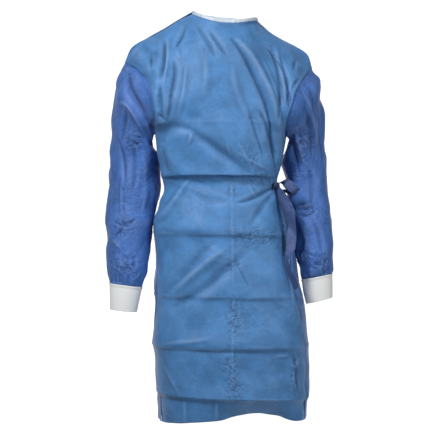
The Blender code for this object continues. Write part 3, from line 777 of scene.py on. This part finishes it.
def crease_wear_and_shade_share(relief):
    """0.5 on smooth cloth, more on a crease's crest for pale wear and less in a trough for painted shade,
    from the relief's curvature.
    """
    around = relief.copy()
    for _ in range(3):
        wide = np.pad(around, 1, mode="edge")
        around = (wide[:-2, 1:-1] + wide[2:, 1:-1] + wide[1:-1, :-2] + wide[1:-1, 2:]) / 4
    return np.clip(0.5 + (relief - around) * CREASE_WEAR_AND_SHADE, 0.0, 1.0)


def cloth_object(name, grid, cloth, look, closed=False, crease_wear_and_shade=None, crush=None):
    """A mesh object: the grid of points as cloth of this thickness inside the grid, with UVs in metres."""
    rows, columns = grid.shape[:2]
    width = columns - 1 if closed else columns
    points = grid[:, :width].reshape(-1, 3)
    i, j = np.meshgrid(np.arange(rows - 1), np.arange(columns - 1), indexing="ij")
    k = (j + 1) % width
    faces = np.stack([i * width + j, i * width + k, (i + 1) * width + k, (i + 1) * width + j], axis=-1)
    mesh = bpy.data.meshes.new(name)
    mesh.from_pydata(points.tolist(), [], faces.reshape(-1, 4).tolist())
    u, v = stations_of(grid, 1), stations_of(grid, 0)
    corners = np.stack([u[j], v[i], u[j + 1], v[i], u[j + 1], v[i + 1], u[j], v[i + 1]], axis=-1)
    mesh.uv_layers.new(name="UVMap").data.foreach_set("uv", corners.reshape(-1))
    # The first attribute marks pale wear on crease crests and painted shade in their troughs.
    for label, values, plain in (("crease_wear_and_shade", crease_wear_and_shade, 0.5), ("crush", crush, 0.3)):
        values = np.full(grid.shape[:2], plain) if values is None else values
        chosen = values[:, :width].reshape(-1).astype(np.float32)
        mesh.attributes.new(label, "FLOAT", "POINT").data.foreach_set("value", chosen)
    mesh.shade_smooth()
    mesh.materials.append(look)
    made = placed(name, mesh)
    thickened(made, cloth.thickness, -1.0)
    return made


def declare(made, node):
    """Hang a piece on the root and hide the part of the frame that it stands for."""
    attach(made, "root")
    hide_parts(node)


# ---------------------------------------------------------------- materials


class Nodes:
    """A material's node tree, with short ways to add to it."""

    def __init__(self, name):
        self.material = bpy.data.materials.new(name)
        self.material.use_nodes = True
        self.tree = self.material.node_tree
        self.shader = self.tree.nodes["Principled BSDF"]

    def add(self, kind, inputs=(), **settings):
        node = self.tree.nodes.new(kind)
        for key, value in settings.items():
            setattr(node, key, value)
        for key, value in dict(inputs).items():
            self.feed(value, node.inputs[key])
        return node

    def feed(self, value, socket):
        if isinstance(value, bpy.types.NodeSocket):
            self.tree.links.new(value, socket)
        else:
            socket.default_value = value

    def maths(self, operation, *values):
        node = self.add("ShaderNodeMath", operation=operation)
        for socket, value in zip(node.inputs, values):
            self.feed(value, socket)
        return node.outputs[0]

    def times(self, first, second):
        return self.maths("MULTIPLY", first, second)

    def mix(self, share, low, high):
        node = self.add("ShaderNodeMix", data_type="RGBA")
        self.feed(share, node.inputs[0])
        self.feed(low, node.inputs[6])
        self.feed(high, node.inputs[7])
        return node.outputs[2]

    def stepped(self, value, low, high):
        inputs = {"Value": value, "From Min": low, "From Max": high}
        return self.add("ShaderNodeMapRange", inputs, interpolation_type="SMOOTHSTEP").outputs[0]

    def noise(self, where, scale, detail=3.0, roughness=0.55):
        inputs = {"Vector": where, "Scale": scale, "Detail": detail, "Roughness": roughness}
        return self.add("ShaderNodeTexNoise", inputs).outputs["Fac"]

    def folds(self, where, scale):
        inputs = {"Vector": where, "Scale": scale}
        return self.add("ShaderNodeTexVoronoi", inputs, feature="DISTANCE_TO_EDGE").outputs["Distance"]

    def bump(self, height, strength, distance, below=None):
        inputs = {"Height": height, "Strength": strength, "Distance": distance}
        node = self.add("ShaderNodeBump", inputs)
        if below is not None:
            self.feed(below, node.inputs["Normal"])
        return node.outputs[0]

    def shade(self, **values):
        for key, value in values.items():
            self.feed(value, self.shader.inputs[key.replace("_", " ")])


def shaded(colour, factor, lift=0.0):
    """The colour made lighter or darker, as RGBA."""
    return (*(min(1.0, factor * c + lift) for c in colour), 1.0)


def nonwoven(name, colour):
    """Spunbond cloth: a cloudy web of fibres, rows of welded points, creases that have gone pale, and
    painted shade in the troughs of the creases.
    """
    n = Nodes(name)
    place = n.add("ShaderNodeTexCoord")
    uv, solid = place.outputs["UV"], place.outputs["Object"]
    cloud = n.noise(solid, 26.0, 5.0, 0.62)
    blotch = n.noise(solid, 95.0, 3.0, 0.6)
    drawn = n.add("ShaderNodeMapping", {"Vector": uv, "Scale": (1.0, 0.35, 1.0)}).outputs[0]
    fibres = n.noise(drawn, 900.0, 4.0, 0.7)
    parts = n.add("ShaderNodeSeparateXYZ", {"Vector": uv})
    across = n.maths("SINE", n.times(parts.outputs[0], 2 * math.pi / BOND_PITCH))
    up = n.maths("SINE", n.times(parts.outputs[1], 2 * math.pi / BOND_PITCH))
    bonds = n.maths("SMOOTH_MAX", n.times(across, up), 0.35, 0.2)
    crease_wear_and_shade = n.add("ShaderNodeAttribute", attribute_name="crease_wear_and_shade").outputs["Fac"]
    tone = n.mix(n.stepped(cloud, 0.32, 0.68), shaded(colour, 0.80), shaded(colour, 1.16))
    tone = n.mix(n.times(n.stepped(blotch, 0.35, 0.65), 0.35), tone, shaded(colour, 0.82))
    tone = n.mix(n.times(fibres, 0.30), tone, shaded(colour, 1.30))
    tone = n.mix(n.times(n.maths("SUBTRACT", bonds, 0.35), 0.35), tone, shaded(colour, 0.72))
    # Pale wear on the crests of creases, and painted shade darkening their troughs.
    pale = n.times(n.maths("MAXIMUM", n.maths("SUBTRACT", crease_wear_and_shade, 0.5), 0.0), 1.2)
    painted_trough_shade = n.times(n.maths("MAXIMUM", n.maths("SUBTRACT", 0.5, crease_wear_and_shade), 0.0), 1.7)
    tone = n.mix(pale, tone, shaded(colour, 0.80, 0.14))
    tone = n.mix(painted_trough_shade, tone, shaded(colour, 0.35))
    crush = n.add("ShaderNodeAttribute", attribute_name="crush").outputs["Fac"]
    bend = n.add("ShaderNodeTexNoise", {"Vector": solid, "Scale": 30.0, "Detail": 2.0}).outputs["Color"]
    bent = n.add("ShaderNodeVectorMath", operation="MULTIPLY_ADD")
    n.feed(bend, bent.inputs[0])
    bent.inputs[1].default_value = (0.030, 0.030, 0.030)
    n.feed(solid, bent.inputs[2])
    folds = n.folds(bent.outputs[0], 62.0)
    small = n.folds(bent.outputs[0], 140.0)
    lines = n.times(n.maths("SUBTRACT", 1.0, n.stepped(folds, 0.0, 0.09)), crush)
    tone = n.mix(n.times(lines, 0.30), tone, shaded(colour, 0.80, 0.12))
    height = n.maths("ADD", folds, n.times(small, 0.45))
    wrinkles = n.noise(solid, 120.0, 4.0, 0.62)
    crisp = n.bump(n.maths("ABSOLUTE", n.maths("SUBTRACT", wrinkles, 0.5)), 0.25, 0.005)
    crushed = n.bump(n.times(height, crush), 0.80, 0.0070, crisp)
    matted = n.bump(fibres, 0.22, 0.0006, crushed)
    dimpled = n.bump(bonds, 0.30, -0.0003, matted)
    n.shade(Base_Color=tone, Roughness=0.52, Normal=dimpled)
    n.shade(Sheen_Weight=0.08, Sheen_Roughness=0.5, Specular_IOR_Level=0.32)
    return n.material


def rib_knit(name, colour):
    """Fine ribs that run up the cuff, with the small rows of its stitches, and painted shade in the grooves
    between the ribs.
    """
    n = Nodes(name)
    uv = n.add("ShaderNodeTexCoord").outputs["UV"]
    parts = n.add("ShaderNodeSeparateXYZ", {"Vector": uv})
    rib = n.maths("ABSOLUTE", n.maths("SINE", n.times(parts.outputs[0], math.pi / RIB_PITCH)))
    row = n.maths("ABSOLUTE", n.maths("SINE", n.times(parts.outputs[1], math.pi / STITCH_PITCH)))
    fuzz = n.noise(uv, 1500.0, 3.0)
    height = n.maths("ADD", rib, n.times(row, 0.25))
    # The colour darkens into the grooves between the ribs: painted shade.
    tone = n.mix(n.times(rib, 0.8), shaded(colour, 0.80), shaded(colour, 1.05))
    n.shade(Base_Color=tone, Roughness=0.92, Normal=n.bump(fuzz, 0.2, 0.0005, n.bump(height, 0.6, 0.0008)))
    n.shade(Sheen_Weight=0.4, Sheen_Roughness=0.6, Specular_IOR_Level=0.2)
    return n.material


def plain_stage(name, colour):
    n = Nodes(name)
    n.shade(Base_Color=colour, Roughness=0.9, Specular_IOR_Level=0.1)
    return n.material


# ---------------------------------------------------------------- the pieces


def body_piece(node, look, corner, along, seam_side=0):
    """A panel of the body. A back flap's side and shoulder seams lie under the front panel's edges."""
    grid = grid_of(node, FABRIC.wall, corner, along)
    if abs(grid[0, 0, 2] - grid[0, -1, 2]) > 0.3:
        grid = grid.transpose(1, 0, 2)
    grid = eased_yoke(with_hem(facing_out(grid)))
    normals = normals_of(grid)
    relief = body_relief(grid, normals) * edge_fade(grid)
    grid = grid + normals * relief[..., None]
    crease_wear_and_shade, crush = crease_wear_and_shade_share(relief), crush_share(grid, BODY_CRUSH, FRONT_PATCHES)
    more = len(TUCK_STEPS)
    if seam_side:
        last = grid[:, -1, 0].mean() * seam_side > grid[:, 0, 0].mean() * seam_side
        grid = continued(grid, 1, last, SIDE_TUCK, SIDE_DEPTH)
        grid = continued(grid, 0, True, SHOULDER_TUCK, SHOULDER_DEPTH)
        added = [(0, more), (0, more) if last else (more, 0)]
    else:
        grid = continued(grid, 0, True, SHOULDER_LAP, 0.0)
        added = [(0, more), (0, 0)]
    crease_wear_and_shade, crush = np.pad(crease_wear_and_shade, added, mode="edge"), np.pad(crush, added, mode="edge")
    made = cloth_object(node + "_cloth", grid, FABRIC, look, crease_wear_and_shade=crease_wear_and_shade, crush=crush)
    declare(made, node)


def tube_of(node, wall, cell):
    """A sleeve's or a cuff's grid, finely resampled, from its lower end upwards."""
    side = 1 if "left" in node else -1
    grid = grid_of(node, wall, (side, 0, -1), (0, -side, 0), closed=True)
    return facing_out(resampled(grid, cell, closed=True), closed=True)


def sleeve_piece(node, look):
    """A sleeve whose head goes in under the armhole, and whose lower end goes under the cuff's band."""
    grid = tube_of(node, FABRIC.wall, SLEEVE_CELL)
    normals = normals_of(grid, closed=True)
    up = stations_of(grid, 0)
    side = 1 if "left" in node else -1
    fade = edge_fade(grid, sides=False)
    relief = sleeve_relief(grid, normals, side) * fade * eased(up[:, None] / CUFF_MARGIN)
    near_head = 1 - eased((up[-1] - up) / HEAD_LENGTH)
    grid = grid + normals * relief[..., None]
    middle = grid[-1].mean(axis=0)
    grid = middle + (grid - middle) * (1 - HEAD_SHRINK * near_head)[:, None, None]
    crease_wear_and_shade = np.pad(crease_wear_and_shade_share(relief), [(len(TUCK_STEPS), len(HEAD_TUCK)), (0, 0)], mode="edge")
    way = grid[-1] - grid[-4]
    way = way / np.linalg.norm(way, axis=1, keepdims=True)
    tuck = [grid[-1] + (middle - grid[-1]) * share + way * reach for share, reach in HEAD_TUCK]
    grid = np.concatenate([grid, tuck])
    grid = continued(grid, 0, False, SLEEVE_END_TUCK, SLEEVE_END_DEPTH)
    grid[:, -1] = grid[:, 0]
    crush = crush_share(grid, SLEEVE_CRUSH, SLEEVE_PATCHES)
    made = cloth_object(node + "_cloth", grid, FABRIC, look, closed=True, crease_wear_and_shade=crease_wear_and_shade, crush=crush)
    declare(made, node)


def cuff_piece(node, look):
    """A knit cuff with the band of its seam standing out round its top."""
    grid = tube_of(node, KNIT.wall, SMALL_CELL)
    down = stations_of(grid, 0)
    down = down[-1] - down
    band = CUFF_BAND * (1 - eased((down - CUFF_BAND_LENGTH) / CUFF_BAND_EDGE))
    band = band + CUFF_SWELL * np.sin(down * 70)
    grid = grid + normals_of(grid, closed=True) * band[:, None, None]
    grid[:, -1] = grid[:, 0]
    made = cloth_object(node + "_knit", grid, KNIT, look, closed=True)
    declare(made, node)


def binding_piece(look):
    """The strip folded over the neck's edge, which laps a little over the cloth on its outside."""
    grid = grid_of("neck_binding", BINDING.wall, (0.2, 1, -1), (1, 0, 0))
    if grid.shape[0] > grid.shape[1]:
        grid = grid.transpose(1, 0, 2)
    if grid[-1, :, 2].mean() < grid[0, :, 2].mean():
        grid = grid[::-1]
    grid = resampled(grid, SMALL_CELL)
    outwards = (grid - grid.mean(axis=(0, 1))) * (1, 1, 0)
    outwards = outwards / np.linalg.norm(outwards, axis=2, keepdims=True)
    foot = grid[:1] + outwards[:1] * BINDING_OUT - (0, 0, BINDING_LAP)
    grid = np.concatenate([foot, (foot + grid[:1] + outwards[:1] * BINDING_OUT) / 2, grid[1:]])
    outwards = np.concatenate([outwards[:1], outwards])
    along = stations_of(grid, 1)[None, :]
    rise = stations_of(grid, 0)[:, None]
    pucker = PUCKER_DEPTH * np.sin(along / PUCKER_PITCH) + BINDING_UNEVEN * waves(grid, 0.018, 61)
    belly = BINDING_BELLY * np.sin(math.pi * rise / rise[-1])
    grid = grid + outwards * (pucker + belly)[..., None]
    if np.cross(grid[0, 1] - grid[0, 0], (0, 0, 1)).dot(outwards[0, 0]) < 0:
        grid = grid[:, ::-1]
    made = cloth_object("neck_binding_strip", grid, BINDING, look)
    declare(made, "neck_binding")


def crinkled(grid, seed):
    """A ribbon with the creases of its knotting: small crushes and a little curl along its edges."""
    normals = normals_of(grid)
    across = np.linspace(-1, 1, grid.shape[1])[None, :]
    crush = crumple(grid, RIBBON_CRUSH_SIZE, seed) + 0.7 * waves(grid, 0.012, seed + 3)
    curl = 0.9 * across**2 * waves(grid, 0.05, seed + 5)
    return grid + normals * (RIBBON_CRUSH * (crush + curl))[..., None]


def ribbon_piece(node, table, look, seed):
    """A stretch of ribbon along the points of its table, as wide and as turned as they say."""
    stations = np.arange(len(table))
    line = smooth(stations, np.array(table), np.linspace(0, len(table) - 1, 8 * len(table)))
    turn, tip = np.radians(line[:, 3]), np.radians(line[:, 4])
    way = np.stack([np.cos(tip) * np.cos(turn), -np.cos(tip) * np.sin(turn), np.sin(tip)], axis=1)
    across = np.outer(line[:, 5], np.linspace(-0.5, 0.5, 13))
    grid = line[:, None, :3] + across[..., None] * way[:, None, :]
    grid = resampled(grid, SMALL_CELL)
    grid = crinkled(grid, seed)
    crease_wear_and_shade = crease_wear_and_shade_share(crumple(grid, RIBBON_CRUSH_SIZE, seed) * RIBBON_WEAR_AND_SHADE)
    made = cloth_object(node + "_ribbon", grid, TAPE, look, crease_wear_and_shade=crease_wear_and_shade)
    declare(made, node)


def waist_piece(look):
    """The stretch of the tie round the wearer's left side."""
    grid = resampled(grid_of("waist_tie", TAPE.wall, (0, 0, 1), (0, 0, -1)), SMALL_CELL)
    grid = crinkled(grid, 71)
    made = cloth_object("waist_tie_ribbon", grid, TAPE, look)
    declare(made, "waist_tie")


def knot_turn(index, lean, swing):
    """One turn of bunched ribbon about an axis, as rows of points in the knot's half sizes."""
    around = np.linspace(0, 2 * math.pi, 49)
    across = np.linspace(-1, 1, 9)[:, None, None]
    lean, swing = math.radians(lean), math.radians(swing)
    axis = Vector((math.cos(lean) * math.cos(swing), math.sin(swing), math.sin(lean))).normalized()
    side = axis.orthogonal().normalized()
    other = axis.cross(side)
    lift = 1.0 + 0.10 * index + 0.05 * np.cos(3 * around + index)
    ring = np.outer(np.cos(around) * lift, side) + np.outer(np.sin(around) * lift, other)
    pinch = 1 - 0.35 * np.abs(np.sin(around + index))
    rows = ring[None] + across * (pinch * 0.55)[None, :, None] * np.array(axis)
    return rows * (1.0 - 0.16 * across**2 + 0.05 * np.cos(5 * across))


def knot_piece(look):
    """The knot: turns of ribbon round one another."""
    work = bmesh.new()
    for index, (lean, swing) in enumerate(KNOT_TURNS):
        rows = knot_turn(index, lean, swing) * KNOT_SIZE + KNOT_MIDDLE
        verts = [[work.verts.new(p) for p in line[:-1]] for line in rows]
        for i in range(len(verts) - 1):
            for j in range(len(verts[0])):
                k = (j + 1) % len(verts[0])
                work.faces.new((verts[i][j], verts[i][k], verts[i + 1][k], verts[i + 1][j]))
    mesh = mesh_of(work, "tie_knot_turns", look)
    mesh.uv_layers.new(name="UVMap")
    made = placed("tie_knot_turns", mesh)
    thickened(made, KNOT_TAPE, 0.0)
    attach(made, "root")
    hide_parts("tie_knot")


def build_gown():
    front = nonwoven("front_nonwoven", FRONT_BLUE)
    back = nonwoven("back_nonwoven", BACK_BLUE)
    sleeve = nonwoven("sleeve_nonwoven", SLEEVE_BLUE)
    knit = rib_knit("white_rib_knit", KNIT_WHITE)
    binding = nonwoven("white_binding", BINDING_WHITE)
    tape = nonwoven("lilac_tape", TAPE_LILAC)
    body_piece("front_panel", front, (-1, 0, -3), (1, 0, 0))
    body_piece("back_outer_flap", back, (1, 0, -3), (-1, 0, 0), seam_side=-1)
    body_piece("back_inner_flap", back, (1, 0, -3), (-1, 0, 0), seam_side=1)
    for side in ("right", "left"):
        sleeve_piece("sleeve_" + side, sleeve)
        cuff_piece("cuff_" + side, knit)
    binding_piece(binding)
    waist_piece(tape)
    knot_piece(tape)
    ribbon_piece("tie_loop", LOOP, tape, 81)
    ribbon_piece("tie_tail_front", TAIL_FRONT, tape, 91)
    ribbon_piece("tie_tail_rear", TAIL_REAR, tape, 101)


# ---------------------------------------------------------------- stage, lights and camera


def build_stage():
    """A sweep of pale paper: a floor that bends up into a wall behind."""
    low = CAD_BOX[0][2] - FLOOR_DROP
    profile = [(SWEEP_NEAR, low)]
    for angle in np.linspace(0, math.pi / 2, 13):
        y = SWEEP_FAR - SWEEP_BEND + SWEEP_BEND * math.sin(angle)
        profile.append((y, low + SWEEP_BEND - SWEEP_BEND * math.cos(angle)))
    profile.append((SWEEP_FAR, low + SWEEP_HEIGHT))
    work = bmesh.new()
    lines = [[work.verts.new((x, y, z)) for y, z in profile] for x in (-SWEEP_HALF_WIDTH, SWEEP_HALF_WIDTH)]
    for k in range(len(profile) - 1):
        work.faces.new((lines[0][k], lines[1][k], lines[1][k + 1], lines[0][k + 1]))
    placed("sweep", mesh_of(work, "sweep", plain_stage("pale_paper", (0.93, 0.93, 0.93, 1.0))))


def area_light(name, place, target, size, watts, spread=180.0):
    data = bpy.data.lights.new(name, "AREA")
    data.shape = "RECTANGLE"
    data.size = data.size_y = size
    data.energy = watts
    data.spread = math.radians(spread)
    lamp = placed(name, data)
    lamp.location = place
    lamp.rotation_euler = (Vector(target) - Vector(place)).to_track_quat("-Z", "Y").to_euler()


def build_world():
    """A studio that is brighter overhead than underneath."""
    world = bpy.data.worlds.new("studio")
    world.use_nodes = True
    tree = world.node_tree
    height = tree.nodes.new("ShaderNodeSeparateXYZ")
    ramp = tree.nodes.new("ShaderNodeMapRange")
    for name, value in (("From Min", -0.9), ("From Max", 0.9), ("To Min", SKY_BELOW), ("To Max", SKY_ABOVE)):
        ramp.inputs[name].default_value = value
    tree.links.new(tree.nodes.new("ShaderNodeTexCoord").outputs["Generated"], height.inputs[0])
    tree.links.new(height.outputs[2], ramp.inputs["Value"])
    tree.links.new(ramp.outputs[0], tree.nodes["Background"].inputs["Strength"])
    tree.nodes["Background"].inputs["Color"].default_value = (1.0, 1.0, 1.0, 1.0)
    bpy.context.scene.world = world


def build_lights():
    """A key and a fill on the gown, and a lamp on each side for the wall behind it."""
    x = (CAD_BOX[0][0] + CAD_BOX[1][0]) / 2 + AIM_OFFSET_X
    z = (CAD_BOX[0][2] + CAD_BOX[1][2]) / 2 + AIM_OFFSET_Z
    area_light("key", (x - 1.3, -1.9, z + 2.0), (x, 0, z), 0.7, KEY_WATTS, LAMP_SPREAD)
    area_light("fill", (x + 1.9, -2.8, z + 0.9), (x, 0, z), 1.2, FILL_WATTS, LAMP_SPREAD)
    for name, side in (("backdrop_left", -1), ("backdrop_right", 1)):
        area_light(name, (x + 3.0 * side, 2.5, z + 1.5), (x, SWEEP_FAR, z), 2.5, BACKDROP_WATTS)


def build_camera():
    data = bpy.data.cameras.new("camera")
    data.sensor_width = SENSOR_MM
    data.lens = SENSOR_MM * CAMERA_DISTANCE / PICTURE_WIDTH
    camera = placed("camera", data)
    camera.location = (CAMERA_X, -CAMERA_DISTANCE, CAMERA_Z)
    camera.rotation_euler = (math.pi / 2, 0, 0)
    bpy.context.scene.camera = camera


build_gown()
build_stage()
bpy.context.scene.view_settings.view_transform = "Standard"
build_world()
build_lights()
build_camera()
